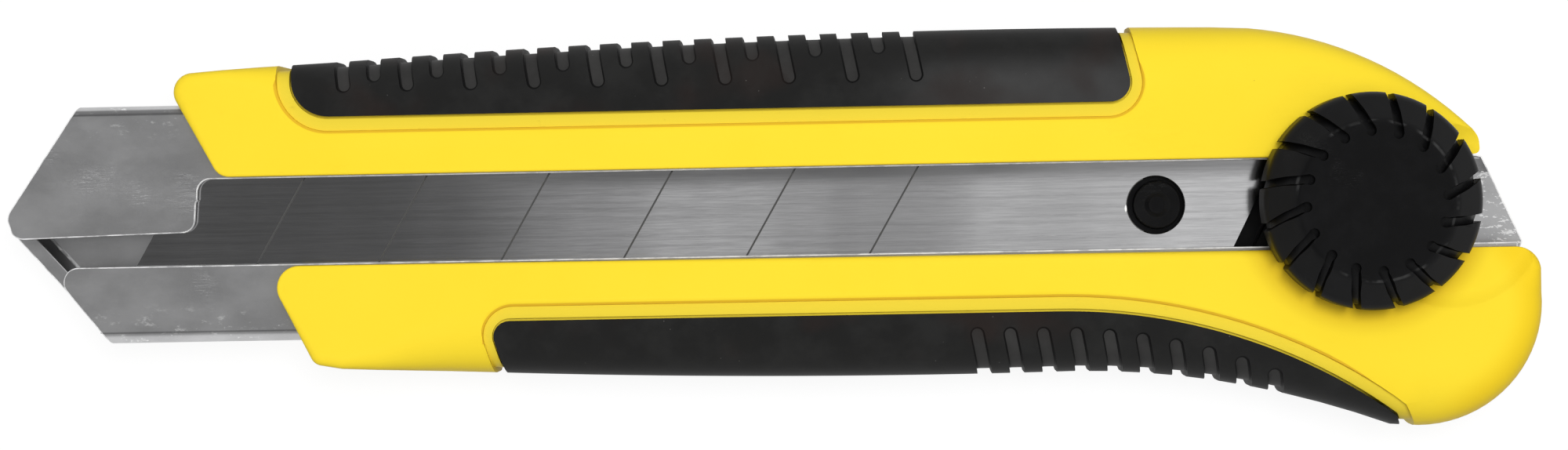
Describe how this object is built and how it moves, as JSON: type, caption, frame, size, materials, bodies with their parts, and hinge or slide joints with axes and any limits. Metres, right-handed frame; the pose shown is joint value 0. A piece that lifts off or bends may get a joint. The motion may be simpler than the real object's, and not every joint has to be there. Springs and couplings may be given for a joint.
{
  "type": "utility knife",
  "caption": "Heavy-duty utility knife: snap-off blade sliding in a folded steel guide, two-tone handle with soft grips, clamped by a round screw knob.",
  "frame": {"origin": "on the flat back, on the blade's centre line, half way along the knife", "axes": "+X along the knife from nose to tail, +Y to the spine of the handle, +Z out of the front face with the knob"},
  "size_m": [0.1741, 0.0461, 0.0228],
  "materials": {
    "yellow_abs": "satin moulded plastic",
    "black_rubber": "matt soft grip",
    "black_plastic": "satin moulded plastic",
    "guide_steel": "bright rolled stainless",
    "blade_steel": "ground along its length",
    "zinc_steel": "zinc plated",
    "brass": "turned"
  },
  "bodies": {
    "handle": {"handle_body": "yellow_abs", "back_cover": "yellow_abs", "upper_grip": "black_rubber", "lower_grip": "black_rubber", "blade_guide": "guide_steel", "guide_rivet_1": "zinc_steel", "guide_rivet_2": "zinc_steel", "cover_screw_1": "zinc_steel", "cover_screw_2": "zinc_steel", "cover_screw_3": "zinc_steel", "cover_screw_4": "zinc_steel", "cover_screw_5": "zinc_steel", "cover_screw_6": "zinc_steel"},
    "slider": {"blade": "blade_steel", "blade_carrier": "black_plastic", "carrier_spring": "zinc_steel", "clamp_bolt": "zinc_steel"},
    "clamp": {"clamp_plate": "zinc_steel", "spring_washer": "zinc_steel"},
    "knob": {"lock_knob": "black_plastic", "knob_nut": "brass"}
  },
  "joints": [
    {"name": "blade_slide", "type": "slide", "parent": "handle", "child": "slider", "axis": [-1, 0, 0], "range_m": [0, 0.098]},
    {"name": "clamp_lift", "type": "slide", "parent": "slider", "child": "clamp", "axis": [0, 0, 1], "range_m": [0, 0.0008]},
    {"name": "knob_turn", "type": "hinge", "parent": "clamp", "child": "knob", "pos_m": [0.06667, 0, 0.0154], "axis": [0, 0, 1], "range_deg": [0, 360]}
  ],
  "couplings": [
    {"joint": "knob_turn", "follows": "clamp_lift", "rad_per_m": 7854}
  ]
}
